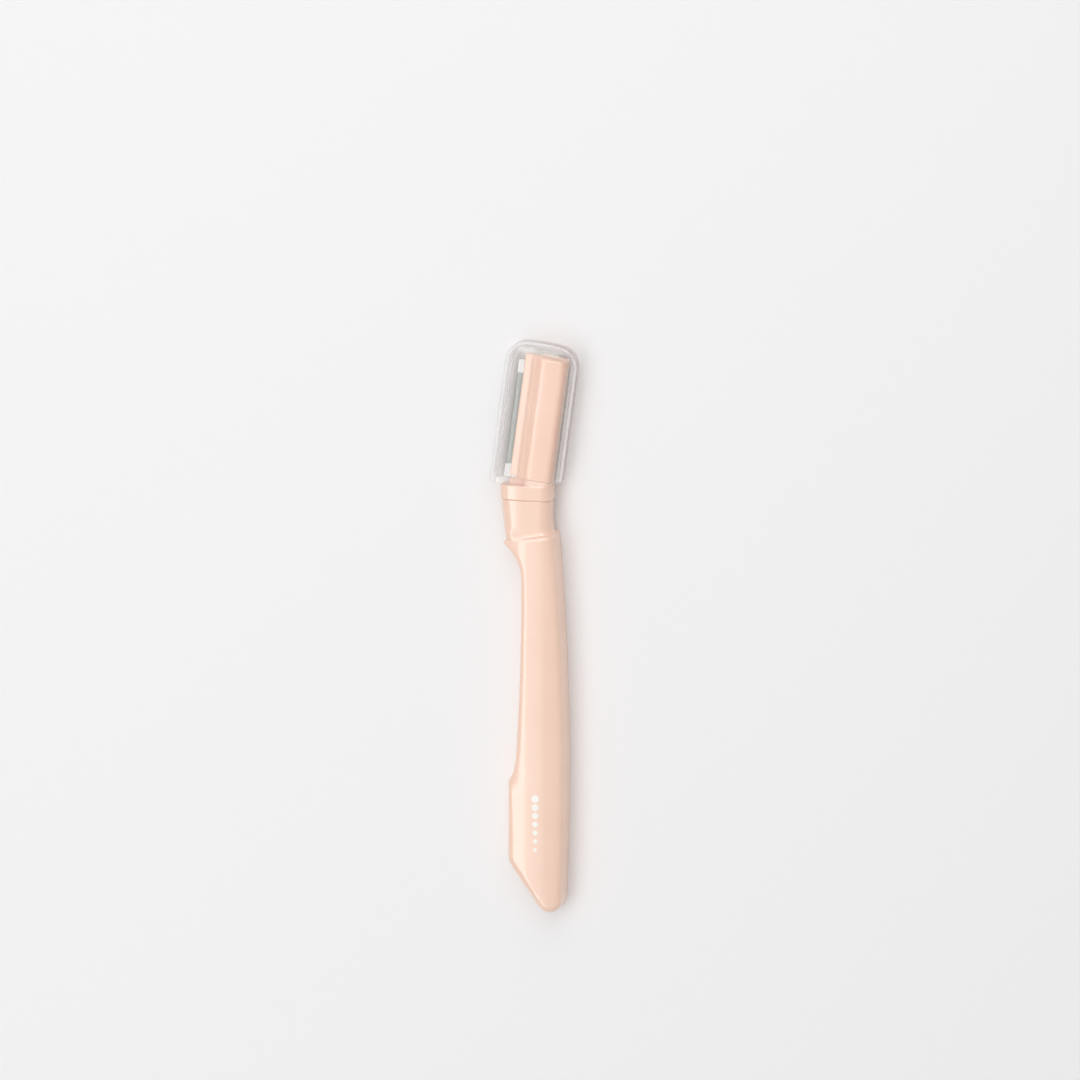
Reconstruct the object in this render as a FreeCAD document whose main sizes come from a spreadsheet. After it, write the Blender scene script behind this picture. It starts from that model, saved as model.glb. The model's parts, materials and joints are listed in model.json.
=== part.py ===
import FreeCAD, Part
import os
import re
import Sketcher

# Eyebrow razor with a clear slip-on cap, lying on its flat back.
# X runs to the right, Y along the handle towards the head, Z up from the back.

doc = FreeCAD.newDocument("eyebrow_razor")
sheet = doc.addObject("Spreadsheet::Sheet", "Sizes")

# Driving dimensions in millimetres, angles in degrees.
driving = {
    # handle: grip, finger rest and paddle moulded in one piece
    "handle_length": 93.5,
    "handle_thickness": 8.2,
    "grip_width": 11.0,
    "paddle_width": 14.2,
    "crown_radius": 24.0,
    "edge_round": 2.0,
    "ridge_round": 0.7,
    "point_round": 0.2,
    "shoulder_round": 0.6,
    "finger_round": 0.25,
    "back_round": 0.4,
    "tail_corner": 5.0,
    "tail_tip": 3.0,
    # neck between the grip and the head
    "head_offset": -3.95,
    "head_middle": 4.1,
    "head_tilt": 7.6,
    "neck_length": 7.9,
    "neck_width": 12.2,
    "neck_thickness": 5.8,
    "neck_front_round": 2.2,
    "neck_back_round": 1.5,
    # collar band and stem of the head frame
    "band_height": 3.6,
    "band_width": 12.7,
    "band_thickness": 6.2,
    "band_lip": 0.25,
    "stem_width": 6.0,
    "stem_thickness": 2.8,
    "stem_length": 9.0,
    "stem_clearance": 0.1,
    # head: frame below, blade and guard between, cover on top
    "head_end": 2.1,
    "head_thickness": 5.8,
    "head_right": 6.0,
    "lip_reach": 4.4,
    "lip_thickness": 0.35,
    "shelf_reach": 2.5,
    "shelf_rise": 0.35,
    "ridge_reach": 0.6,
    "head_edge_round": 1.2,
    "head_ridge_round": 2.0,
    "head_end_round": 0.5,
    "root_height": 1.6,
    "root_overlap": 1.8,
    # blade
    "blade_thickness": 0.3,
    "blade_edge_reach": 5.72,
    "blade_back_reach": 2.0,
    "blade_grind": 0.8,
    "blade_length": 27.6,
    "blade_clearance": 0.1,
    # pegs that hold the blade
    "peg_radius": 0.9,
    "peg_depth": 1.7,
    "peg_pitch": 15.0,
    "peg_clearance": 0.1,
    # slotted guard folded over the blade's edge
    "guard_sheet": 0.15,
    "guard_gap": 0.08,
    "guard_leaf": 3.2,
    "guard_overlap": 0.5,
    "fold_round": 0.2,
    "slot_pitch": 0.6,
    "slot_width": 0.3,
    "slot_depth": 1.0,
    # clear cap
    "cap_width": 17.5,
    "cap_room": 3.3,
    "cap_wall": 0.9,
    "cap_fit": 0.2,
    "cap_shift": -0.2,
    "cap_corner": 5.0,
    "cap_edge_round": 2.8,
    "cap_dome": 0.7,
    "mouth_gap": 0.15,
    "mouth_rise": 1.2,
    # how far every cutting shape passes the face that it cuts
    "overrun": 2.0,
}
slot_count = 36

for row, (name, value) in enumerate(driving.items(), start=1):
    cell = "A%d" % row
    sheet.set(cell, str(value))
    sheet.setAlias(cell, name)
doc.recompute()


def size(name):
    return float(getattr(sheet, name))


def seen(text):
    # Expression text with each size name turned into a cell reference.
    return re.sub(r"[a-z_]+", lambda word: "Sizes." + word[0] if word[0] in driving else word[0], text)


def bind(thing, **links):
    for prop, text in links.items():
        thing.setExpression(prop.replace("__", "."), seen(text))


def new_body(name):
    return doc.addObject("PartDesign::Body", name)


def new_sketch(body, name, role):
    sketch = body.newObject("Sketcher::SketchObject", name)
    for feature in body.Origin.OriginFeatures:
        if feature.Role == role:
            sketch.AttachmentSupport = (feature, [""])
    sketch.MapMode = "FlatFace"
    return sketch


def layout_point(sketch, place):
    # A construction point whose two coordinates are bound to the sheet.
    index = sketch.addGeometry(Part.Point(FreeCAD.Vector()), True)
    for kind, text in zip(("DistanceX", "DistanceY"), place):
        number = sketch.addConstraint(Sketcher.Constraint(kind, -1, 1, index, 1, 0.0))
        sketch.setExpression("Constraints[%d]" % number, seen(text))
    return index


def point_at(sketch, index):
    spot = sketch.Geometry[index]
    return FreeCAD.Vector(spot.X, spot.Y, 0)


def heading_away(curve, spot):
    # Direction in which a curve leaves one of its ends.
    edge = curve.toShape()
    first, last = edge.FirstParameter, edge.LastParameter
    if edge.valueAt(first).distanceToPoint(spot) < edge.valueAt(last).distanceToPoint(spot):
        return edge.tangentAt(first)
    return edge.tangentAt(last) * -1


def arc_leaving(start, heading, end):
    # The arc from start to end that sets out along the heading.
    side = FreeCAD.Vector(-heading.y, heading.x, 0)
    chord = end - start
    centre = start + side * (chord.dot(chord) / (2 * chord.dot(side)))
    outward = (start + end) * 0.5 - centre
    outward.normalize()
    return Part.Arc(start, centre + outward * centre.distanceToPoint(start), end)


def trace(sketch, spans):
    # A closed outline. Each span starts at its first place and ends where the next one starts:
    # ("line", place), ("arc", place, place on the arc), ("follow", place) for an arc that goes
    # on smoothly from the span before, ("lead", place) for one that runs smoothly into the next.
    count = len(spans)
    spots = [layout_point(sketch, span[1]) for span in spans]
    on_arc = {i: layout_point(sketch, span[2]) for i, span in enumerate(spans) if span[0] == "arc"}
    doc.recompute()
    starts = [point_at(sketch, spot) for spot in spots]
    ends = starts[1:] + starts[:1]
    curves = {}
    for i, span in enumerate(spans):
        if span[0] == "line":
            curves[i] = Part.LineSegment(starts[i], ends[i])
        elif span[0] == "arc":
            curves[i] = Part.Arc(starts[i], point_at(sketch, on_arc[i]), ends[i])
    for i, span in enumerate(spans):
        if span[0] == "follow":
            curves[i] = arc_leaving(starts[i], heading_away(curves[i - 1], starts[i]) * -1, ends[i])
        elif span[0] == "lead":
            curves[i] = arc_leaving(ends[i], heading_away(curves[i + 1], ends[i]) * -1, starts[i])
    drawn = []
    for i in range(count):
        index = sketch.addGeometry(curves[i], False)
        forward = sketch.getPoint(index, 1).distanceToPoint(starts[i]) < Part.Precision.confusion()
        drawn.append((index, 1, 2) if forward else (index, 2, 1))
    for i, span in enumerate(spans):
        index, first, last = drawn[i]
        if span[0] == "follow":
            before, _, before_last = drawn[i - 1]
            sketch.addConstraint(Sketcher.Constraint("Tangent", index, first, before, before_last))
        else:
            sketch.addConstraint(Sketcher.Constraint("Coincident", index, first, spots[i], 1))
        if span[0] == "lead":
            after, after_first, _ = drawn[i + 1]
            sketch.addConstraint(Sketcher.Constraint("Tangent", index, last, after, after_first))
        else:
            sketch.addConstraint(Sketcher.Constraint("Coincident", index, last, spots[(i + 1) % count], 1))
        if i in on_arc:
            sketch.addConstraint(Sketcher.Constraint("PointOnObject", on_arc[i], 1, index))
    doc.recompute()


def polygon(sketch, places):
    trace(sketch, [("line", place) for place in places])


def disc(sketch, place, radius):
    spot = layout_point(sketch, place)
    doc.recompute()
    circle = sketch.addGeometry(Part.Circle(point_at(sketch, spot), FreeCAD.Vector(0, 0, 1), 1), False)
    sketch.addConstraint(Sketcher.Constraint("Coincident", circle, 3, spot, 1))
    number = sketch.addConstraint(Sketcher.Constraint("Radius", circle, 1))
    sketch.setExpression("Constraints[%d]" % number, seen(radius))


def pad(body, name, sketch, length, start="0", reverse=False):
    # A pad of a sketch that stands at a start distance from its own plane.
    bind(sketch, AttachmentOffset__Base__z=start)
    feature = body.newObject("PartDesign::Pad", name)
    feature.Profile = sketch
    feature.Reversed = reverse
    bind(feature, Length=length)
    doc.recompute()
    return feature


def cut_through(body, name, sketch):
    feature = body.newObject("PartDesign::Pocket", name)
    feature.Profile = sketch
    feature.Type = "ThroughAll"
    feature.SideType = "Symmetric"
    doc.recompute()
    return feature


def chosen(shape, test):
    # Numbers of the edges that pass a test on their middle and their two ends.
    numbers = []
    for number, edge in enumerate(shape.Edges, start=1):
        first, last = edge.FirstParameter, edge.LastParameter
        if test(edge.valueAt((first + last) / 2), edge.valueAt(first), edge.valueAt(last)):
            numbers.append(number)
    return numbers


def rounded(body, name, base, test, radius):
    feature = body.newObject("PartDesign::Fillet", name)
    feature.Base = (base, ["Edge%d" % number for number in chosen(base.Shape, test)])
    bind(feature, Radius=radius)
    doc.recompute()
    return feature


def near(value, target):
    return abs(value - target) < 10 * Part.Precision.confusion()


def upright_at(x, y):
    # Test for the upright edge over one place of an outline.
    return lambda middle, first, last: near(middle.x, x) and near(middle.y, y) and not near(first.z, last.z)


def at_height(height):
    return lambda middle, first, last: near(first.z, height) and near(last.z, height)


# Handle: places of the outline as shares of the grip's or paddle's width and of the length.
outline_shares = {
    "point_top": ("grip_width", -0.845, 0.976),
    "ridge_end": ("grip_width", 0.290, 1.000),
    "right_side": ("grip_width", 0.507, 0.535),
    "tail_end": ("paddle_width", 0.324, -0.057),
    "tail_left": ("paddle_width", -0.588, 0.135),
    "shoulder": ("paddle_width", -0.563, 0.352),
    "cusp": ("grip_width", -0.673, 0.357),
    "left_low": ("grip_width", -0.564, 0.408),
    "left_side": ("grip_width", -0.463, 0.642),
    "left_high": ("grip_width", -0.440, 0.884),
    "point_low": ("grip_width", -0.841, 0.970),
}


def handle_place(name):
    width, across_share, along_share = outline_shares[name]
    return "%s * %s" % (across_share, width), "%s * handle_length" % along_share


def handle_spot(name):
    width, across_share, along_share = outline_shares[name]
    return across_share * size(width), along_share * size("handle_length")


grip = new_body("grip")
outline = new_sketch(grip, "handle_outline", "XY_Plane")
trace(outline, [
    ("line", handle_place("point_top")),
    ("arc", handle_place("ridge_end"), handle_place("right_side")),
    ("line", handle_place("tail_end")),
    ("line", handle_place("tail_left")),
    ("line", handle_place("shoulder")),
    ("lead", handle_place("cusp")),
    ("arc", handle_place("left_low"), handle_place("left_side")),
    ("follow", handle_place("left_high")),
    ("line", handle_place("point_low")),
])
block = pad(grip, "handle_block", outline, "handle_thickness")
for corner, radius in (("tail_end", "tail_tip"), ("tail_left", "tail_corner")):
    block = rounded(grip, radius + "_fillet", block, upright_at(*handle_spot(corner)), radius)

# The front is a shallow crown across the width.
crown = new_sketch(grip, "crown", "XZ_Plane")
crown_edge = "handle_thickness - crown_radius + sqrt(crown_radius ^ 2 - paddle_width ^ 2)"
trace(crown, [
    ("arc", ("-paddle_width", crown_edge), ("0", "handle_thickness")),
    ("line", ("paddle_width", crown_edge)),
    ("line", ("paddle_width", "handle_thickness + overrun")),
    ("line", ("-paddle_width", "handle_thickness + overrun")),
])
cut_through(grip, "crown_cut", crown)

# The front edge is rounded in a broad chain from the ridge's end round the tail to the shoulder,
# and then in slim ones over the ridge, along the finger side and round the back.
finger_spots = [handle_spot(name) for name in ("cusp", "left_low", "left_high", "point_low")]
break_spots = finger_spots + [handle_spot(name) for name in ("point_top", "shoulder")]
ridge_top, ridge_foot = [FreeCAD.Vector(*handle_spot(name), 0) for name in ("ridge_end", "point_top")]


def stands_on(spot, places):
    return any(near(spot.x, x) and near(spot.y, y) for x, y in places)


def on_ridge(*spots):
    # True if all spots lie in the upright plane of the ridge.
    along = (ridge_top - ridge_foot).normalize()
    across = FreeCAD.Vector(-along.y, along.x, 0)
    return all(near((spot - ridge_foot).dot(across), 0) for spot in spots)


def front_radius(spot):
    at_shoulder = stands_on(spot, [handle_spot("shoulder")])
    return size("shoulder_round" if at_shoulder else "edge_round")


def ridge_radius(spot):
    at_point = stands_on(spot, [handle_spot("point_top")])
    return size("point_round" if at_point else "ridge_round")


def ends_of(shape, number):
    edge = shape.Edges[number - 1]
    return edge.valueAt(edge.FirstParameter), edge.valueAt(edge.LastParameter)


def on_front(*spots):
    return min(spot.z for spot in spots) > size("handle_thickness") / 2


broad = doc.addObject("Part::Fillet", "broad_rounding")
broad.Base = grip
broad.Edges = [
    (number, *[front_radius(spot) for spot in ends_of(grip.Shape, number)])
    for number in chosen(grip.Shape, lambda middle, first, last: on_front(middle, first, last)
                         and not on_ridge(middle, first, last)
                         and not (stands_on(first, break_spots) and stands_on(last, break_spots)))
]
doc.recompute()

slim = doc.addObject("Part::Fillet", "slim_rounding")
slim.Base = broad
slim.Edges = [
    (number, *[ridge_radius(spot) for spot in ends_of(broad.Shape, number)])
    for number in chosen(broad.Shape, lambda middle, first, last: on_ridge(middle, first, last)
                         and middle.z > 0 and not stands_on(middle, [handle_spot("point_top")]))
] + [
    (number, size("finger_round"), size("finger_round"))
    for number in chosen(broad.Shape, lambda middle, first, last: on_front(middle, first, last)
                         and stands_on(first, finger_spots) and stands_on(last, finger_spots))
] + [(number, size("back_round"), size("back_round")) for number in chosen(broad.Shape, at_height(0))]
doc.recompute()

# Neck: places as shares of its width across the head's middle and of its length from the ridge.
seam = "(handle_length + neck_length)"
neck_shares = {
    "top_left": (-0.5, 1.0),
    "left_hollow": (-0.458, 0.29),
    "left_low": (-0.39, -0.28),
    "root_left": (-0.045, -0.76),
    "root_right": (0.42, -0.76),
    "flare_end": (0.585, -0.165),
    "right_low": (0.5, 0.38),
    "top_right": (0.5, 1.0),
}


def neck_place(name):
    across_share, along_share = neck_shares[name]
    return "head_offset + %s * neck_width" % across_share, "handle_length + %s * neck_length" % along_share


neck = new_body("neck")
neck_outline = new_sketch(neck, "neck_outline", "XY_Plane")
trace(neck_outline, [
    ("arc", neck_place("top_left"), neck_place("left_hollow")),
    ("line", neck_place("left_low")),
    ("line", neck_place("root_left")),
    ("line", neck_place("root_right")),
    ("lead", neck_place("flare_end")),
    ("line", neck_place("right_low")),
    ("line", neck_place("top_right")),
])
neck_block = pad(neck, "neck_block", neck_outline, "neck_thickness", "head_middle - neck_thickness / 2")
lowest_share = min(neck_shares["left_low"][1], neck_shares["flare_end"][1])
neck_floor = size("handle_length") + lowest_share * size("neck_length")
neck_top = size("handle_length") + size("neck_length")


def neck_side(height):
    # Test for the neck's visible side edges at one height.
    def test(middle, first, last):
        level = near(first.z, height) and near(last.z, height)
        low = min(first.y, last.y) < neck_floor - Part.Precision.confusion()
        return level and not low and not (near(first.y, neck_top) and near(last.y, neck_top))
    return test


neck_front = size("head_middle") + size("neck_thickness") / 2
neck_back = size("head_middle") - size("neck_thickness") / 2
neck_block = rounded(neck, "neck_front_fillet", neck_block, neck_side(neck_front), "neck_front_round")
rounded(neck, "neck_back_fillet", neck_block, neck_side(neck_back), "neck_back_round")

# Stem of the head frame, and the socket for it in the neck.
stem = doc.addObject("Part::Box", "stem")
bind(stem, Length="stem_width", Width="stem_length + band_height / 2", Height="stem_thickness",
     Placement__Base__x="head_offset - stem_width / 2", Placement__Base__y=seam + " - stem_length",
     Placement__Base__z="head_middle - stem_thickness / 2")
socket = doc.addObject("Part::Box", "socket")
bind(socket, Length="stem_width + 2 * stem_clearance", Width="stem_length + stem_clearance + overrun",
     Height="stem_thickness + 2 * stem_clearance",
     Placement__Base__x="head_offset - stem_width / 2 - stem_clearance",
     Placement__Base__y=seam + " - stem_length - stem_clearance",
     Placement__Base__z="head_middle - stem_thickness / 2 - stem_clearance")
doc.recompute()


def fused(name, shapes):
    thing = doc.addObject("Part::MultiFuse", name)
    thing.Shapes = shapes
    doc.recompute()
    return thing


def cut(name, base, tool):
    thing = doc.addObject("Part::Cut", name)
    thing.Base = base
    thing.Tool = tool
    doc.recompute()
    return thing


handle = cut("handle", fused("handle_solid", [slim, neck]), socket)

# Collar band above the neck's top.
band = new_body("band")
band_outline = new_sketch(band, "band_outline", "XY_Plane")
polygon(band_outline, [
    ("head_offset - band_width / 2", seam),
    ("head_offset + band_width / 2", seam),
    ("head_offset + band_width / 2", seam + " + band_height"),
    ("head_offset - band_width / 2", seam + " + band_height"),
])
band_block = pad(band, "band_block", band_outline, "band_thickness", "head_middle - band_thickness / 2")


def along_y(height):
    return lambda middle, first, last: near(middle.z, height) and near(first.x, last.x)


def level_with(place):
    return lambda middle, first, last: near(first.y, place) and near(last.y, place)


band_front = size("head_middle") + size("band_thickness") / 2
band_back = size("head_middle") - size("band_thickness") / 2
band_block = rounded(band, "band_front_fillet", band_block, along_y(band_front), "neck_front_round")
band_block = rounded(band, "band_back_fillet", band_block, along_y(band_back), "neck_back_round")
band_block = rounded(band, "band_low_lip", band_block, level_with(neck_top), "band_lip")
rounded(band, "band_high_lip", band_block, level_with(neck_top + size("band_height")), "band_lip")


# The head leans over the collar: its pieces are drawn upright and turned together.
def lean(thing):
    foot = FreeCAD.Vector(size("head_offset"), neck_top + size("band_height"), 0)
    thing.Placement = FreeCAD.Placement(foot, FreeCAD.Rotation(FreeCAD.Vector(0, 0, 1), -size("head_tilt")))
    doc.recompute()


blade_start = "(root_height + blade_clearance)"
head_length = "(%s + blade_length + head_end)" % blade_start
far_end = size("root_height") + size("blade_clearance") + size("blade_length") + size("head_end")
fold = "(blade_edge_reach + guard_gap + guard_sheet)"
leaf_end = "(guard_leaf + blade_clearance - %s)" % fold
blade_half = "blade_thickness / 2"
guard_half = "(blade_thickness / 2 + guard_sheet)"
blade_middle = "(%s + blade_length / 2)" % blade_start
peg_places = [("0", blade_middle + " - peg_pitch / 2"), ("0", blade_middle + " + peg_pitch / 2")]


def half_section(sketch, side):
    # One half of the head's cross-section, on the front (+) or the back (-) of its middle plane.
    level = "head_middle " + side
    polygon(sketch, [
        ("head_right", "head_middle"),
        ("blade_back_reach + blade_clearance", "head_middle"),
        ("blade_back_reach + blade_clearance", "%s %s" % (level, blade_half)),
        (leaf_end, "%s %s" % (level, blade_half)),
        (leaf_end, "%s %s" % (level, guard_half)),
        ("-lip_reach", "%s %s" % (level, guard_half)),
        ("-lip_reach", "%s (%s + lip_thickness)" % (level, guard_half)),
        ("-shelf_reach", "%s (%s + lip_thickness + shelf_rise)" % (level, guard_half)),
        ("-ridge_reach", level + " head_thickness / 2"),
        ("head_right", level + " head_thickness / 2"),
    ])


def running_at(x, z):
    # Test for an edge that runs along the head at one place of its cross-section.
    def test(middle, first, last):
        return near(middle.x, x) and near(middle.z, z) and not near(first.y, last.y)
    return test


def soften(body, block, outer):
    # Rounds the long outer edges and the far end of one half of the head.
    side = "front" if outer > size("head_middle") else "back"
    block = rounded(body, side + "_edge", block, running_at(size("head_right"), outer), "head_edge_round")
    block = rounded(body, side + "_ridge", block, running_at(-size("ridge_reach"), outer),
                    "head_ridge_round")

    def far_edge(middle, first, last):
        far = near(first.y, far_end) and near(last.y, far_end)
        clear = min(abs(spot.z - size("head_middle")) for spot in (first, middle, last))
        return far and clear > size("head_thickness") / 2 - size("head_ridge_round")
    rounded(body, side + "_end", block, far_edge, "head_end_round")


# Frame half of the head with its root, moulded with the band and the stem.
plate = new_body("plate")
plate_section = new_sketch(plate, "plate_section", "XZ_Plane")
half_section(plate_section, "-")
plate_block = pad(plate, "plate_block", plate_section, head_length + " + root_overlap", "root_overlap", True)
soften(plate, plate_block, size("head_middle") - size("head_thickness") / 2)
root_outline = new_sketch(plate, "root_outline", "XY_Plane")
polygon(root_outline, [
    ("-ridge_reach", "-root_overlap"),
    ("head_right", "-root_overlap"),
    ("head_right", "root_height"),
    ("-ridge_reach", "root_height"),
])
root_block = pad(plate, "root_block", root_outline, "head_thickness / 2", "head_middle")
head_front = size("head_middle") + size("head_thickness") / 2
root_block = rounded(plate, "root_edge", root_block, running_at(size("head_right"), head_front),
                     "head_edge_round")
rounded(plate, "root_ridge", root_block, running_at(-size("ridge_reach"), head_front), "head_ridge_round")
peg_sockets = new_sketch(plate, "peg_sockets", "XY_Plane")
bind(peg_sockets, AttachmentOffset__Base__z="head_middle")
for place in peg_places:
    disc(peg_sockets, place, "peg_radius + peg_clearance")
peg_pocket = plate.newObject("PartDesign::Pocket", "peg_pocket")
peg_pocket.Profile = peg_sockets
bind(peg_pocket, Length="peg_depth + peg_clearance")
lean(plate)
head_frame = fused("head_frame", [band, stem, plate])

# Cover half of the head, with the pegs that pass through the blade.
head_cover = new_body("head_cover")
cover_section = new_sketch(head_cover, "cover_section", "XZ_Plane")
half_section(cover_section, "+")
cover_block = pad(head_cover, "cover_block", cover_section, head_length + " - root_height", "-root_height",
                  True)
soften(head_cover, cover_block, size("head_middle") + size("head_thickness") / 2)
pegs = new_sketch(head_cover, "pegs", "XY_Plane")
for place in peg_places:
    disc(pegs, place, "peg_radius")
pad(head_cover, "peg_posts", pegs, "peg_depth + head_thickness / 4", "head_middle - peg_depth")
lean(head_cover)

# Blade with its ground edge and two peg holes.
blade = new_body("blade")
blade_section = new_sketch(blade, "blade_section", "XZ_Plane")
polygon(blade_section, [
    ("-blade_edge_reach", "head_middle"),
    ("blade_grind - blade_edge_reach", "head_middle + " + blade_half),
    ("blade_back_reach", "head_middle + " + blade_half),
    ("blade_back_reach", "head_middle - " + blade_half),
    ("blade_grind - blade_edge_reach", "head_middle - " + blade_half),
])
pad(blade, "blade_strip", blade_section, "blade_length", "-" + blade_start, True)
blade_holes = new_sketch(blade, "blade_holes", "XY_Plane")
for place in peg_places:
    disc(blade_holes, place, "peg_radius + peg_clearance")
cut_through(blade, "peg_holes", blade_holes)
lean(blade)

# Thin sheet guard folded over the edge, slotted along the fold.
guard = new_body("guard")
guard_section = new_sketch(guard, "guard_section", "XZ_Plane")
polygon(guard_section, [
    ("-" + fold, "head_middle - " + guard_half),
    ("guard_leaf - " + fold, "head_middle - " + guard_half),
    ("guard_leaf - " + fold, "head_middle - " + blade_half),
    ("guard_sheet - " + fold, "head_middle - " + blade_half),
    ("guard_sheet - " + fold, "head_middle + " + blade_half),
    ("guard_leaf - " + fold, "head_middle + " + blade_half),
    ("guard_leaf - " + fold, "head_middle + " + guard_half),
    ("-" + fold, "head_middle + " + guard_half),
])
guard_block = pad(guard, "guard_fold", guard_section, "blade_length + 2 * guard_overlap",
                  "guard_overlap - " + blade_start, True)
fold_reach = size("blade_edge_reach") + size("guard_gap") + size("guard_sheet")
rounded(guard, "fold_fillet", guard_block,
        lambda middle, first, last: near(middle.x, -fold_reach) and not near(first.y, last.y), "fold_round")
first_slot = "(%s - %d * slot_pitch / 2)" % (blade_middle, slot_count - 1)
slot = new_sketch(guard, "slot", "XY_Plane")
polygon(slot, [
    ("-%s - overrun" % fold, first_slot + " - slot_width / 2"),
    ("slot_depth - " + fold, first_slot + " - slot_width / 2"),
    ("slot_depth - " + fold, first_slot + " + slot_width / 2"),
    ("-%s - overrun" % fold, first_slot + " + slot_width / 2"),
])
slot_cut = cut_through(guard, "slot_cut", slot)
slot_row = guard.newObject("PartDesign::LinearPattern", "slot_row")
slot_row.Originals = [slot_cut]
slot_row.Direction = (slot, ["V_Axis"])
slot_row.Occurrences = slot_count
bind(slot_row, Length="%d * slot_pitch" % (slot_count - 1))
guard.Tip = slot_row
lean(guard)

# Clear cap: a hollow hood with a domed top and a curved mouth that follows the collar.
cap_half = "(head_thickness / 2 + cap_fit)"



def hood(name, inset, drop, depth, corner, edge):
    # One solid of the hood, drawn upright: its outer form, or the hollow that opens at the mouth.
    body = new_body(name)
    sketch = new_sketch(body, name + "_outline", "XY_Plane")
    left = "(cap_shift - cap_width / 2 + %s)" % inset
    right = "(cap_shift + cap_width / 2 - %s)" % inset
    mouth = "%s * tan(head_tilt) + mouth_gap - %s"
    crest = "%s + cap_room - cap_dome - %s" % (head_length, inset)
    trace(sketch, [
        ("arc", (left, mouth % (left, drop) + " + mouth_rise"), ("cap_shift", mouth % ("cap_shift", drop))),
        ("line", (right, mouth % (right, drop) + " + mouth_rise")),
        ("arc", (right, crest), ("cap_shift", crest + " + cap_dome")),
        ("line", (left, crest)),
    ])
    block = pad(body, name + "_block", sketch, "2 * " + depth, "head_middle - " + depth)
    top = max(spot.Y for spot in block.Shape.Vertexes)
    for side, x in (("left", min(spot.X for spot in block.Shape.Vertexes)),
                    ("right", max(spot.X for spot in block.Shape.Vertexes))):
        block = rounded(body, "%s_%s_corner" % (name, side), block, upright_at(x, top), corner)
    faces = [size("head_middle") + sign * block.Shape.BoundBox.ZLength / 2 for sign in (-1, 1)]
    rounded(body, name + "_edges", block,
            lambda middle, first, last: any(at_height(face)(middle, first, last) for face in faces)
            and max(first.y, last.y) > far_end / 2, edge)
    lean(body)
    return body


cap_outside = hood("cap_outside", "0", "0", "(%s + cap_wall)" % cap_half, "cap_corner", "cap_edge_round")
cap_hollow = hood("cap_hollow", "cap_wall", "(overrun + mouth_rise)", cap_half,
                  "cap_corner - cap_wall", "cap_edge_round - cap_wall")
cap = cut("cap", cap_outside, cap_hollow)

# Every object must be sound before anything is written.
for thing in doc.Objects:
    if "Invalid" in thing.State or "Error" in thing.State:
        raise RuntimeError("%s is in state %s" % (thing.Name, thing.State))
    if thing.isDerivedFrom("Part::Feature") and (thing.Shape.isNull() or not thing.Shape.isValid()):
        raise RuntimeError("%s has no valid shape" % thing.Name)

# The origin goes under the middle of the whole object, on the plane that it rests on.
nodes = [handle, head_frame, head_cover, blade, guard, cap]
whole = FreeCAD.BoundBox()
for node in nodes:
    whole.add(node.Shape.optimalBoundingBox(False, False))
shift = FreeCAD.Placement(FreeCAD.Vector(-whole.Center.x, -whole.Center.y, -whole.ZMin), FreeCAD.Rotation())

os.makedirs("parts", exist_ok=True)
for node in nodes:
    node.Label = node.Name
    node.Placement = shift * node.Placement
    node.Shape.exportStep("parts/%s.step" % node.Name)
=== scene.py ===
import bpy
import json
import math
from mathutils import Matrix, Vector

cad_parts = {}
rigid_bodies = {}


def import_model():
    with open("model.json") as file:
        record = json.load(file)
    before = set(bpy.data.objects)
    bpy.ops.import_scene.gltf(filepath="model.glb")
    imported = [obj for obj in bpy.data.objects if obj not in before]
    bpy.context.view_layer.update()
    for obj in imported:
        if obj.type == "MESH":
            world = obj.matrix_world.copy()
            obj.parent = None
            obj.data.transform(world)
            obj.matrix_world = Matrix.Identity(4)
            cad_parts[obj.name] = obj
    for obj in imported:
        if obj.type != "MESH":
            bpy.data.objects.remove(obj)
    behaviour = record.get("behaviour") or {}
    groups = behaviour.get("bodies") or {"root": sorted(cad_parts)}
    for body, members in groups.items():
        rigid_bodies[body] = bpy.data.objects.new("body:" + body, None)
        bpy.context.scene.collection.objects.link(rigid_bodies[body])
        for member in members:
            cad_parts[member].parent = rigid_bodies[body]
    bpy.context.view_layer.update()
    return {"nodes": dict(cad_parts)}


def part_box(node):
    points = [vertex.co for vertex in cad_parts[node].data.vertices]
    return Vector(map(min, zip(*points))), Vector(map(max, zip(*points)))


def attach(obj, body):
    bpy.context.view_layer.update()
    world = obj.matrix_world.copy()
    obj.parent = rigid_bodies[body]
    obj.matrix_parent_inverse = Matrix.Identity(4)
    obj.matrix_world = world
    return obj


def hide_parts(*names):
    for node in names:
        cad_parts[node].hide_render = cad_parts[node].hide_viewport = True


for leftover in list(bpy.data.objects):
    bpy.data.objects.remove(leftover)
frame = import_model()
nodes = frame["nodes"]

# Handle: one peach moulding with the neck, the finger rest, the grip and the paddle tail.
# Its glossy pearl plastic lets a little light in, and the polished mould leaves soft edges,
# softest along the finger side of the grip.
mm = 0.001
weld_distance = 0.001 * mm
smoothing_step = 0.5
handle_skin_step = 0.3 * mm
handle_rounds = 60
handle_low, handle_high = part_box("handle")
tail_end = handle_low.y
front_from = handle_high.z / 2
front_full = handle_high.z * 0.7


def alone(piece):
    # Makes one piece the only selected and active one.
    bpy.ops.object.select_all(action="DESELECT")
    piece.select_set(True)
    bpy.context.view_layer.objects.active = piece


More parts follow.
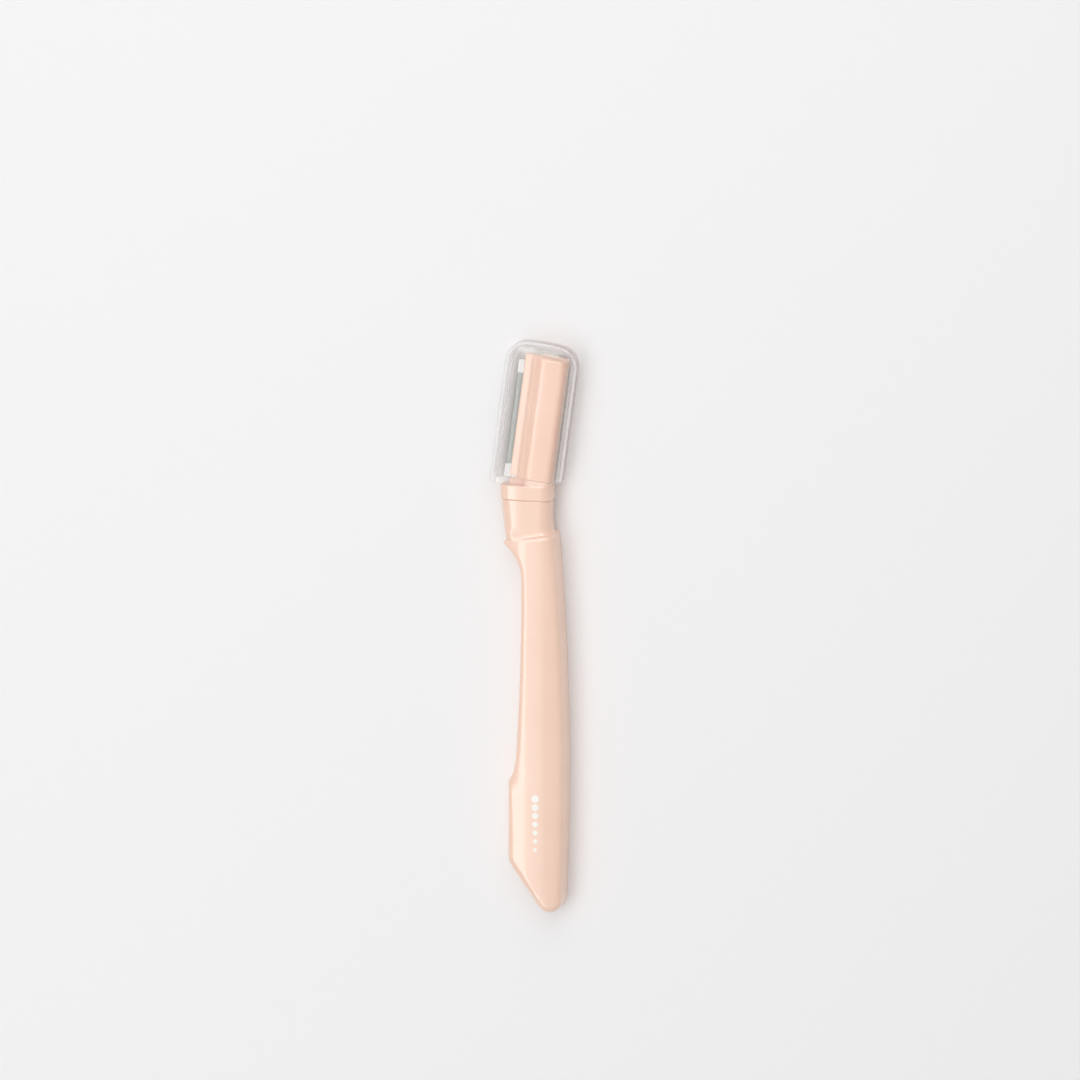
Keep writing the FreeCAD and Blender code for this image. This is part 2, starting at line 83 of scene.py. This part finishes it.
def merged_copy(node_name, piece_name):
    # A copy of a node's mesh as one closed skin, free of its loose triangles.
    piece = nodes[node_name].copy()
    piece.data = nodes[node_name].data.copy()
    piece.name = piece_name
    for key in list(piece.keys()):
        del piece[key]
    piece.parent = None
    bpy.context.scene.collection.objects.link(piece)
    alone(piece)
    bpy.ops.mesh.customdata_custom_splitnormals_clear()
    bpy.ops.object.mode_set(mode="EDIT")
    bpy.ops.mesh.select_all(action="SELECT")
    bpy.ops.mesh.remove_doubles(threshold=weld_distance)
    bpy.ops.object.mode_set(mode="OBJECT")
    return piece


def apply_modifier(piece, name, kind, **settings):
    modifier = piece.modifiers.new(name, kind)
    for setting, value in settings.items():
        setattr(modifier, setting, value)
    alone(piece)
    bpy.ops.object.modifier_apply(modifier=name)


def limited(value, most=1):
    return min(max(value, 0), most)


def ease(value, start, end):
    # A smooth step from 0 at start to 1 at end.
    share = limited((value - start) / (end - start))
    return share * share * (3 - 2 * share)


def softened_copy(node_name, piece_name, skin_step, rounds, softness_at):
    # An even skin over a node, with its edges eased as far as softness_at says at each place.
    piece = merged_copy(node_name, piece_name)
    apply_modifier(piece, "even_skin", "REMESH", mode="VOXEL", voxel_size=skin_step)
    softness = piece.vertex_groups.new(name="softness")
    for vertex in piece.data.vertices:
        softness.add([vertex.index], softness_at(vertex.co), "REPLACE")
    apply_modifier(piece, "soft_edges", "SMOOTH", factor=smoothing_step, iterations=rounds,
                   vertex_group="softness")
    alone(piece)
    bpy.ops.object.shade_smooth()
    return piece


def on_front(place):
    return ease(place.z, front_from, front_full)


finger_side = handle_low.x + 7.0 * mm
grip_axis = handle_low.x + 10.0 * mm
finger_rest_above_tail = 90.0 * mm
finger_rest_fade = 6.0 * mm
cusp_above_tail = 33.4 * mm
cusp_fade_start = 1.0 * mm
cusp_fade_end = 6.0 * mm
ridge_above_tail = 92.0 * mm
ridge_reach = 4.0 * mm
ridge_tip = 2.0 * mm
seam_fade = 1.0 * mm
edge_softness = 0.06
finger_softness = 0.7
ridge_softness = 0.3
paddle_softness_share = 0.3


def handle_softness(place):
    above_tail = place.y - tail_end
    along = 1 - ease(above_tail, finger_rest_above_tail - finger_rest_fade, finger_rest_above_tail)
    above_cusp = ease(above_tail - cusp_above_tail, cusp_fade_start, cusp_fade_end)
    along *= paddle_softness_share + (1 - paddle_softness_share) * above_cusp
    across = 1 - ease(place.x, finger_side, grip_axis)
    ridge = 1 - ease(abs(above_tail - ridge_above_tail), ridge_reach / 2, ridge_reach)
    ridge *= on_front(place) * ease(place.x, handle_low.x + ridge_tip, finger_side)
    seam = 1 - ease(place.y, handle_high.y - seam_fade, handle_high.y)
    return seam * (edge_softness + finger_softness * along * across + ridge_softness * ridge)


neck_above_tail = 93.6 * mm
neck_fade = 1.0 * mm
neck_side = handle_low.x + 5.4 * mm
neck_crown_width = 4.0 * mm
neck_crown_drop = 0.62 * mm
neck_crown_bend = 1.4
paddle_side = handle_low.x + 6.4 * mm
paddle_fill_width = 4.0 * mm
paddle_fill = 0.27 * mm
paddle_fade_start = 4.0 * mm
paddle_fade_end = 1.0 * mm


def neck_share(place):
    # How far a place on the front lies out towards the finger side of the neck and the collar.
    beyond_ridge = ease(place.y - tail_end, neck_above_tail - neck_fade, neck_above_tail + neck_fade)
    return on_front(place) * beyond_ridge * limited((neck_side - place.x) / neck_crown_width)


def paddle_share(place):
    # How far a place on the front lies out towards the finger side of the paddle.
    below_cusp = 1 - ease(place.y - tail_end, cusp_above_tail - paddle_fade_start,
                          cusp_above_tail + paddle_fade_end)
    return on_front(place) * below_cusp * limited((paddle_side - place.x) / paddle_fill_width)


def roll_off(piece, drop, share_at, bend=2):
    # Lowers the front of a moulding where share_at rises, as a gentle crown. A drop below zero
    # fills the front out instead, and a bend nearer to one makes the crown straighter.
    for vertex in piece.data.vertices:
        vertex.co.z -= drop * share_at(vertex.co) ** bend


handle = softened_copy("handle", "moulded_handle", handle_skin_step, handle_rounds, handle_softness)
roll_off(handle, neck_crown_drop, neck_share, neck_crown_bend)
roll_off(handle, -paddle_fill, paddle_share)
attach(handle, "razor")
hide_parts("handle")


def new_material(name):
    material = bpy.data.materials.new(name)
    material.use_nodes = True
    return material, material.node_tree.nodes, material.node_tree.links


def noise_on_object(tree_nodes, links, scale, detail, stretch=(1, 1, 1)):
    # Noise on Object coordinates, drawn out along an axis where stretch is below one.
    place = tree_nodes.new("ShaderNodeTexCoord")
    mapping = tree_nodes.new("ShaderNodeMapping")
    mapping.inputs["Scale"].default_value = stretch
    noise = tree_nodes.new("ShaderNodeTexNoise")
    noise.inputs["Scale"].default_value = scale
    noise.inputs["Detail"].default_value = detail
    links.new(place.outputs["Object"], mapping.inputs["Vector"])
    links.new(mapping.outputs["Vector"], noise.inputs["Vector"])
    return noise.outputs["Fac"]


def between(tree_nodes, links, factor, low, high):
    # A ramp that runs from one colour to another with a factor.
    ramp = tree_nodes.new("ShaderNodeValToRGB")
    ramp.color_ramp.elements[0].position = 0.3
    ramp.color_ramp.elements[1].position = 0.7
    ramp.color_ramp.elements[0].color = low
    ramp.color_ramp.elements[1].color = high
    links.new(factor, ramp.inputs["Fac"])
    return ramp.outputs["Color"]


def fine_bump(tree_nodes, links, height, strength, distance):
    bump = tree_nodes.new("ShaderNodeBump")
    bump.inputs["Strength"].default_value = strength
    bump.inputs["Distance"].default_value = distance
    links.new(height, bump.inputs["Height"])
    return bump.outputs["Normal"]


def peach_plastic(name, low, high):
    # Two close tones of peach in soft clouds, under a clear gloss with a faint peel.
    material, tree_nodes, links = new_material(name)
    shader = tree_nodes["Principled BSDF"]
    tone_clouds_and_painted_highlight = noise_on_object(tree_nodes, links, scale=90, detail=3)
    links.new(between(tree_nodes, links, tone_clouds_and_painted_highlight, low, high), shader.inputs["Base Color"])
    peel = noise_on_object(tree_nodes, links, scale=1400, detail=2)
    links.new(fine_bump(tree_nodes, links, peel, strength=0.05, distance=0.1 * mm),
              shader.inputs["Normal"])
    shader.inputs["Roughness"].default_value = 0.36
    shader.inputs["Subsurface Weight"].default_value = 0.12
    shader.inputs["Subsurface Radius"].default_value = (1.0, 0.45, 0.3)
    shader.inputs["Subsurface Scale"].default_value = 1.5 * mm
    shader.inputs["Coat Weight"].default_value = 0.7
    shader.inputs["Coat Roughness"].default_value = 0.1
    return material


pearl_peach = peach_plastic("pearl_peach", (0.93, 0.64, 0.5, 1), (0.96, 0.67, 0.53, 1))
handle.data.materials.clear()
handle.data.materials.append(pearl_peach)

# Print on the paddle: a column of dots that grow smaller towards the tail.
# White ink, pressed on as a thin film that follows the crown of the plastic.
dot_count = 7
dot_corners = 40
dot_pitch = 2.1 * mm
largest_dot = 0.95 * mm
smallest_dot = 0.45 * mm
dot_rim_share = 1 / 6
film_thickness = 0.03 * mm
film_edge_angle = math.radians(40)
first_dot_above_tail = 28.4 * mm
dots_from_low_side = 9.0 * mm
bpy.ops.object.select_all(action="DESELECT")
dots = []
for number in range(dot_count):
    share = number / (dot_count - 1)
    bpy.ops.mesh.primitive_circle_add(
        vertices=dot_corners, radius=largest_dot + (smallest_dot - largest_dot) * share, fill_type="NGON",
        location=(handle_low.x + dots_from_low_side,
                  tail_end + first_dot_above_tail - number * dot_pitch, handle_high.z))
    dot = bpy.context.object
    bpy.ops.object.mode_set(mode="EDIT")
    bpy.ops.mesh.inset(thickness=dot.dimensions.x * dot_rim_share)
    bpy.ops.mesh.poke()
    bpy.ops.object.mode_set(mode="OBJECT")
    dots.append(dot)
for dot in dots:
    dot.select_set(True)
bpy.ops.object.join()
printed_dots = bpy.context.object
printed_dots.name = "printed_dots"
bpy.ops.object.transform_apply(location=True, rotation=True, scale=True)
apply_modifier(printed_dots, "press_on", "SHRINKWRAP", target=handle, wrap_method="PROJECT",
               use_project_z=True, use_positive_direction=False, use_negative_direction=True,
               offset=film_thickness)
apply_modifier(printed_dots, "film", "SOLIDIFY", thickness=film_thickness, offset=-1)
alone(printed_dots)
bpy.ops.object.shade_smooth_by_angle(angle=film_edge_angle)
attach(printed_dots, "razor")


def printing_ink(name, low, high):
    material, tree_nodes, links = new_material(name)
    shader = tree_nodes["Principled BSDF"]
    cover = noise_on_object(tree_nodes, links, scale=2500, detail=4)
    links.new(between(tree_nodes, links, cover, low, high), shader.inputs["Base Color"])
    links.new(fine_bump(tree_nodes, links, cover, strength=0.08, distance=0.05 * mm),
              shader.inputs["Normal"])
    shader.inputs["Roughness"].default_value = 0.3
    shader.inputs["Coat Weight"].default_value = 0.45
    shader.inputs["Coat Roughness"].default_value = 0.1
    return material


white_ink = printing_ink("white_ink", (0.94, 0.89, 0.83, 1), (0.97, 0.93, 0.88, 1))
printed_dots.data.materials.append(white_ink)

# Head frame and head cover: the collar with its stem, and the two halves that hold the blade.
# They are moulded in the same peach and welded along the middle. The cover gets a darker copy of that
# peach as painted shade for its place under the cap. The mould leaves the collar and the plate's ridge
# eased.
head_lean = math.radians(7.6)
head_skin_step = 0.16 * mm
head_rounds = 120
head_softness = 0.02
cover_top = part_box("head_cover")[1].z
plate_flatness = 0.02 * mm
plate_front_from = cover_top - 1.4 * mm
plate_front_full = cover_top - 0.6 * mm
plate_crown_width = 3.0 * mm
plate_crown_drop = 0.36 * mm
plate_crown_limit = 1.2


def across_head(place):
    return place.x * math.cos(head_lean) - place.y * math.sin(head_lean)


def along_head(place):
    return place.x * math.sin(head_lean) + place.y * math.cos(head_lean)


plate_ridge = min(across_head(vertex.co) for vertex in nodes["head_cover"].data.vertices
                  if vertex.co.z > cover_top - plate_flatness)


def plate_share(place):
    # How far a place on the front of the cover lies out towards the plate's ridge, and past it.
    reach = (plate_ridge + plate_crown_width - across_head(place)) / plate_crown_width
    return ease(place.z, plate_front_from, plate_front_full) * limited(reach, plate_crown_limit)


def even_softness(place):
    return head_softness


head_frame = softened_copy("head_frame", "moulded_head_frame", head_skin_step, head_rounds, even_softness)
roll_off(head_frame, neck_crown_drop, neck_share, neck_crown_bend)
head_cover = softened_copy("head_cover", "moulded_head_cover", head_skin_step, head_rounds, even_softness)
roll_off(head_cover, plate_crown_drop, plate_share)
# The cover's peach is a darker copy of the handle's, as painted shade for its place under the cap.
painted_shade_peach = peach_plastic("painted_shade_peach", (0.9, 0.57, 0.42, 1), (0.93, 0.6, 0.45, 1))
for piece, half, finish in ((head_frame, "head_frame", pearl_peach),
                            (head_cover, "head_cover", painted_shade_peach)):
    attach(piece, "razor")
    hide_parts(half)
    piece.data.materials.clear()
    piece.data.materials.append(finish)

# Blade: a thin hardened strip with a ground edge, held on two pegs between the halves.
# The grind leaves fine lines across the edge.


def bright_steel(name, low, high, stretch):
    material, tree_nodes, links = new_material(name)
    shader = tree_nodes["Principled BSDF"]
    shader.inputs["Metallic"].default_value = 1.0
    shader.inputs["Roughness"].default_value = 0.38
    grain = noise_on_object(tree_nodes, links, scale=900, detail=4, stretch=stretch)
    links.new(between(tree_nodes, links, grain, low, high), shader.inputs["Base Color"])
    links.new(fine_bump(tree_nodes, links, grain, strength=0.1, distance=0.05 * mm),
              shader.inputs["Normal"])
    return material


nodes["blade"].data.materials[0] = bright_steel(
    "ground_steel", (0.3, 0.31, 0.31, 1), (0.4, 0.4, 0.41, 1), stretch=(0.2, 4, 1))

# Guard: a thin sheet folded over the edge, with a row of slots that let the hairs through.
# The slotted stretch is rougher and painted darker, as painted shade for the gaps between its bars,
# and the two solid ends keep their polish.
guard_low, guard_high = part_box("guard")
guard_middle = (guard_low.y + guard_high.y) / 2
polished_length = 3.4 * mm
polish_start = (guard_high.y - guard_low.y) / 2 - polished_length
polish_fade = 0.3 * mm


def worked_out(tree_nodes, links, operation, *values):
    # One step of shader arithmetic: a socket among the values is linked, and a number is set.
    step = tree_nodes.new("ShaderNodeMath")
    step.operation = operation
    for value, socket in zip(values, step.inputs):
        if isinstance(value, bpy.types.NodeSocket):
            links.new(value, socket)
        else:
            socket.default_value = value
    return step.outputs[0]


def run_between(tree_nodes, links, value, start, end, low=0.0, high=1.0):
    # Runs from low to high as a value goes from start to end.
    band = tree_nodes.new("ShaderNodeMapRange")
    band.inputs["From Min"].default_value = start
    band.inputs["From Max"].default_value = end
    band.inputs["To Min"].default_value = low
    band.inputs["To Max"].default_value = high
    links.new(value, band.inputs["Value"])
    return band.outputs["Result"]


def slotted_steel(name, dull_and_painted_shade, polished):
    material, tree_nodes, links = new_material(name)
    shader = tree_nodes["Principled BSDF"]
    shader.inputs["Metallic"].default_value = 1.0
    place = tree_nodes.new("ShaderNodeTexCoord")
    axes = tree_nodes.new("ShaderNodeSeparateXYZ")
    links.new(place.outputs["Object"], axes.inputs["Vector"])
    from_middle = worked_out(tree_nodes, links, "SUBTRACT", axes.outputs["Y"], guard_middle)
    reach = worked_out(tree_nodes, links, "ABSOLUTE", from_middle)
    ends = run_between(tree_nodes, links, reach, polish_start - polish_fade, polish_start + polish_fade)
    grain = noise_on_object(tree_nodes, links, scale=900, detail=4, stretch=(2, 0.3, 1))
    links.new(fine_bump(tree_nodes, links, grain, strength=0.1, distance=0.05 * mm),
              shader.inputs["Normal"])
    # The slotted stretch is painted darker, as painted shade for the gaps between its bars.
    links.new(between(tree_nodes, links, ends, dull_and_painted_shade, polished), shader.inputs["Base Color"])
    links.new(run_between(tree_nodes, links, ends, 0, 1, low=0.5, high=0.25), shader.inputs["Roughness"])
    return material


nodes["guard"].data.materials[0] = slotted_steel(
    "guard_sheet", (0.17, 0.185, 0.17, 1), (0.4, 0.4, 0.4, 1))

# Cap: a clear hood with thin walls that slips over the head and stops above the collar.
# Clear moulded plastic, with a painted highlight along its rounded edges: a white milky layer
# that stands in for the bright reflections there.
cap_low, cap_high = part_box("cap")
cap_points = [vertex.co for vertex in nodes["cap"].data.vertices]
cap_left = min(across_head(point) for point in cap_points)
cap_right = max(across_head(point) for point in cap_points)
cap_crest = max(along_head(point) for point in cap_points)
cap_round = 2.8 * mm
cap_edge_full_share = 0.25
# How much of the painted highlight's white milk mixes in with the gloss, and how much of that milk lets
# light through.
painted_highlight_share = 0.5
painted_highlight_see_through_share = 0.25


def rounded_edge(tree_nodes, links):
    # 1 where the cap's walls round over into its faces, and 0 on the flats between. It places the painted
    # highlight.
    place = tree_nodes.new("ShaderNodeTexCoord")
    to_head = tree_nodes.new("ShaderNodeMapping")
    to_head.inputs["Rotation"].default_value = (0, 0, head_lean)
    to_head.inputs["Location"].default_value = (
        -(cap_left + cap_right) / 2, 0, -(cap_low.z + cap_high.z) / 2)
    links.new(place.outputs["Object"], to_head.inputs["Vector"])
    mirrored = tree_nodes.new("ShaderNodeVectorMath")
    mirrored.operation = "ABSOLUTE"
    links.new(to_head.outputs["Vector"], mirrored.inputs[0])
    reach = tree_nodes.new("ShaderNodeSeparateXYZ")
    links.new(mirrored.outputs["Vector"], reach.inputs["Vector"])
    half_width = (cap_right - cap_left) / 2
    half_height = (cap_high.z - cap_low.z) / 2
    at_side = run_between(tree_nodes, links, reach.outputs["X"], half_width - cap_round, half_width)
    at_crest = run_between(tree_nodes, links, reach.outputs["Y"], cap_crest - cap_round, cap_crest)
    at_face = run_between(tree_nodes, links, reach.outputs["Z"], half_height - cap_round, half_height)
    at_wall = worked_out(tree_nodes, links, "MAXIMUM", at_side, at_crest)
    at_both = worked_out(tree_nodes, links, "MULTIPLY", at_wall, at_face)
    return run_between(tree_nodes, links, at_both, 0, cap_edge_full_share)


def share_by_turn(tree_nodes, links, turn, steps):
    # A grey ramp over how far the surface turns away from the eye. Each step is a turn from
    # 0 to 1 with its share, and the first and the last step are at the two ends.
    ramp = tree_nodes.new("ShaderNodeValToRGB")
    stops = ramp.color_ramp.elements
    for end, (turned, share) in ((0, steps[0]), (1, steps[-1])):
        stops[end].position = turned
        stops[end].color = (share, share, share, 1)
    for turned, share in steps[1:-1]:
        stops.new(turned).color = (share, share, share, 1)
    links.new(turn, ramp.inputs["Fac"])
    return ramp.outputs["Color"]


def mixed(tree_nodes, links, factor, first, second):
    mix = tree_nodes.new("ShaderNodeMixShader")
    if isinstance(factor, bpy.types.NodeSocket):
        links.new(factor, mix.inputs["Fac"])
    else:
        mix.inputs["Fac"].default_value = factor
    links.new(first, mix.inputs[1])
    links.new(second, mix.inputs[2])
    return mix.outputs["Shader"]


def clear_plastic(name, clear, edge_clear, painted_highlight):
    # Thin clear wall: little gloss face-on, and a painted highlight where the wall rounds over, made as a
    # white milky layer that shows more as the wall turns from the eye. The wall takes a deeper tint where
    # it stands edge-on.
    material, tree_nodes, links = new_material(name)
    tree_nodes.remove(tree_nodes["Principled BSDF"])
    layer = tree_nodes.new("ShaderNodeLayerWeight")
    layer.inputs["Blend"].default_value = 0.5
    turn = layer.outputs["Facing"]
    through = tree_nodes.new("ShaderNodeBsdfTransparent")
    links.new(between(tree_nodes, links, turn, clear, edge_clear), through.inputs["Color"])
    waves = noise_on_object(tree_nodes, links, scale=120, detail=2)
    shine = tree_nodes.new("ShaderNodeBsdfGlossy")
    shine.inputs["Color"].default_value = (1, 1, 1, 1)
    shine.inputs["Roughness"].default_value = 0.02
    links.new(fine_bump(tree_nodes, links, waves, strength=0.004, distance=0.2 * mm),
              shine.inputs["Normal"])
    painted_highlight_diffuse = tree_nodes.new("ShaderNodeBsdfDiffuse")
    painted_highlight_diffuse.inputs["Color"].default_value = painted_highlight
    painted_highlight_translucent = tree_nodes.new("ShaderNodeBsdfTranslucent")
    painted_highlight_translucent.inputs["Color"].default_value = painted_highlight
    # The painted highlight: a white milk that reflects light and lets some of it through.
    tone_clouds_and_painted_highlight = mixed(tree_nodes, links, painted_highlight_see_through_share,
                  painted_highlight_diffuse.outputs["BSDF"], painted_highlight_translucent.outputs["BSDF"])
    skin = mixed(tree_nodes, links, painted_highlight_share, shine.outputs["BSDF"], tone_clouds_and_painted_highlight)
    # How much of the wall shows gloss and painted highlight instead of clear, on the flats and on the
    # rounded edges, rising as the wall turns from the eye.
    on_flats = share_by_turn(tree_nodes, links, turn, ((0, 0.05), (0.5, 0.07), (0.75, 0.15), (1, 0.6)))
    on_edges = share_by_turn(tree_nodes, links, turn, (
        (0, 0.05), (0.2, 0.12), (0.4, 0.8), (0.58, 0.8), (0.7, 0.45), (1, 0.7)))
    gloss = tree_nodes.new("ShaderNodeMix")
    links.new(rounded_edge(tree_nodes, links), gloss.inputs["Factor"])
    links.new(on_flats, gloss.inputs["A"])
    links.new(on_edges, gloss.inputs["B"])
    wall = mixed(tree_nodes, links, gloss.outputs["Result"], through.outputs["BSDF"], skin)
    links.new(wall, tree_nodes["Material Output"].inputs["Surface"])
    return material


nodes["cap"].data.materials[0] = clear_plastic(
    "clear_moulding", (0.987, 0.981, 0.976, 1), (0.96, 0.945, 0.95, 1), painted_highlight=(0.96, 0.95, 0.955, 1))

# Floor: a plain pale surface that the razor lies on, wide enough for every view.
# It is part of the stage and not of the razor.
floor_size = 6.0
bpy.ops.object.select_all(action="DESELECT")
bpy.ops.mesh.primitive_plane_add(size=floor_size, location=(0, 0, 0))
floor = bpy.context.object
floor.name = "floor"
floor_material, floor_nodes = new_material("pale_floor")[:2]
floor_shader = floor_nodes["Principled BSDF"]
floor_shader.inputs["Base Color"].default_value = (0.93, 0.925, 0.93, 1)
floor_shader.inputs["Roughness"].default_value = 0.6
floor.data.materials.append(floor_material)

# Studio light: an even surround that the gloss and the clear plastic see at full white, a soft
# window on the finger side and a fill beyond the head. Two strips add only highlights: one
# beside the window for the grip, and one beyond the head for the head and the collar.
room_light = 0.53
world = bpy.data.worlds.new("surround")
bpy.context.scene.world = world
world.use_nodes = True
world_nodes = world.node_tree.nodes
world_links = world.node_tree.links
surround = world_nodes["Background"]
surround.inputs["Color"].default_value = (1, 1, 1, 1)
rays = world_nodes.new("ShaderNodeLightPath").outputs
seen_white = worked_out(world_nodes, world_links, "MAXIMUM", rays["Is Camera Ray"], rays["Is Glossy Ray"])
seen_through = worked_out(world_nodes, world_links, "MAXIMUM", seen_white, rays["Is Transmission Ray"])
world_links.new(run_between(world_nodes, world_links, seen_through, 0, 1, low=room_light, high=1.0),
                surround.inputs["Strength"])


def soft_lamp(name, place, wide, tall, watts):
    # A rectangle of light that faces the razor, with its tall side along the razor's length.
    lamp_data = bpy.data.lights.new(name, "AREA")
    lamp_data.shape = "RECTANGLE"
    lamp_data.size = wide
    lamp_data.size_y = tall
    lamp_data.energy = watts
    lamp = bpy.data.objects.new(name, lamp_data)
    bpy.context.scene.collection.objects.link(lamp)
    away = Vector(place).normalized()
    across = Vector((0, 1, 0)).cross(away).normalized()
    along = away.cross(across)
    turned = Matrix((across, along, away)).transposed().to_4x4()
    lamp.matrix_world = Matrix.Translation(Vector(place)) @ turned
    return lamp


soft_lamp("left_window", place=(-0.42, -0.2, 0.92), wide=0.5, tall=1.2, watts=2.9)
soft_lamp("head_side_fill", place=(0.1, 0.7, 0.84), wide=0.8, tall=1.1, watts=3.5)
left_strip = soft_lamp("left_strip", place=(-0.58, -0.2, 0.84), wide=0.15, tall=1.2, watts=2.4)
head_strip = soft_lamp("head_strip", place=(-0.35, 0.7, 0.75), wide=0.8, tall=0.9, watts=8.0)
for strip in (left_strip, head_strip):
    strip.visible_diffuse = False

# Camera: above the razor, a little to its right and towards its head, through a long lens.
# It looks past the razor's middle, so that the razor sits low in the picture.
turn = math.radians(13.5)
lean = math.radians(12.0)
right = Vector((math.cos(turn), 0, -math.sin(turn)))
up = Vector((-math.sin(turn) * math.sin(lean), math.cos(lean), -math.cos(turn) * math.sin(lean)))
back = right.cross(up)
frame_width = 0.2592
distance = 1.6
aim_right = 0.00035
aim_up = 0.02005
camera_data = bpy.data.cameras.new("camera")
camera_data.sensor_width = 36.0
camera_data.lens = camera_data.sensor_width * distance / frame_width
camera = bpy.data.objects.new("camera", camera_data)
bpy.context.scene.collection.objects.link(camera)
aim = right * aim_right + up * aim_up
facing = Matrix((right, up, back)).transposed().to_4x4()
camera.matrix_world = Matrix.Translation(aim + back * distance) @ facing
bpy.context.scene.camera = camera
bpy.context.scene.view_settings.view_transform = "Standard"
